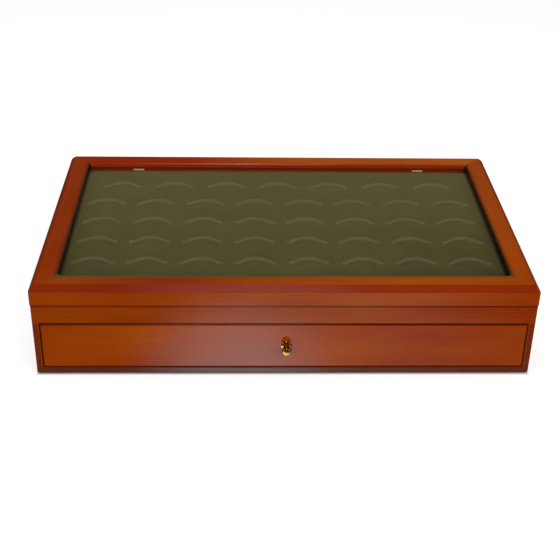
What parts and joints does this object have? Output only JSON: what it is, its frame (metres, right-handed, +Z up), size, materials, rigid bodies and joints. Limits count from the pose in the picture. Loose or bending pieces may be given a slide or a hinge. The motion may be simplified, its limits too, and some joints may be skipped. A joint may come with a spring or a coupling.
{
  "type": "coin display case",
  "caption": "Low wooden display case with a hinged glass lid over a slotted coin insert and a full-width drawer with a small ball knob.",
  "frame": {"origin": "middle of the felt underside, on the surface the case stands on", "axes": "+X to the right along the long side, +Y towards the hinged back, +Z up; the drawer opens towards -Y"},
  "size_m": [0.38, 0.2479, 0.0781],
  "materials": {
    "cherry_lacquer": "semi-gloss lacquer over red cherry stain",
    "drawer_wood": "clear sealed",
    "stained_batten": "dark stain",
    "fibreboard": "raw",
    "insert_velvet": "short-pile velvet over foam",
    "felt": "felt",
    "drawer_felt": "felt",
    "glass": "clear float glass",
    "brass": "satin",
    "polished_brass": "polished and lacquered",
    "staple_wire": "brass-washed wire",
    "screw_steel": "zinc plated",
    "bumper": "soft"
  },
  "bodies": {
    "base": {"base_left_side": "cherry_lacquer", "base_right_side": "cherry_lacquer", "base_back": "cherry_lacquer", "base_front_rail": "cherry_lacquer", "base_bottom": "cherry_lacquer", "base_felt": "felt", "tray_shelf": "drawer_wood", "tray_batten_front": "stained_batten", "tray_batten_back": "stained_batten", "tray_batten_left": "stained_batten", "tray_batten_right": "stained_batten", "insert_backing": "fibreboard", "coin_insert": "insert_velvet", "hinge_base_leaves": "brass", "hinge_pins": "brass", "hinge_screws_base": "brass", "lid_bumpers": "bumper"},
    "lid": {"lid_rail_front": "cherry_lacquer", "lid_rail_back": "cherry_lacquer", "lid_rail_left": "cherry_lacquer", "lid_rail_right": "cherry_lacquer", "glass_pane": "glass", "glass_bead_front": "cherry_lacquer", "glass_bead_back": "cherry_lacquer", "glass_bead_left": "cherry_lacquer", "glass_bead_right": "cherry_lacquer", "bead_staples": "staple_wire", "hinge_lid_leaves": "brass", "hinge_screws_lid": "brass"},
    "drawer": {"drawer_front": "cherry_lacquer", "drawer_left_side": "drawer_wood", "drawer_right_side": "drawer_wood", "drawer_back": "drawer_wood", "drawer_bottom": "drawer_wood", "drawer_lining": "drawer_felt", "drawer_knob": "polished_brass", "knob_screw": "screw_steel"}
  },
  "joints": [
    {"name": "lid_hinge", "type": "hinge", "parent": "base", "child": "lid", "pos_m": [0, 0.1164, 0.062], "axis": [-1, 0, 0], "range_deg": [0, 100]},
    {"name": "drawer_slide", "type": "slide", "parent": "base", "child": "drawer", "axis": [0, -1, 0], "range_m": [0, 0.16]}
  ]
}
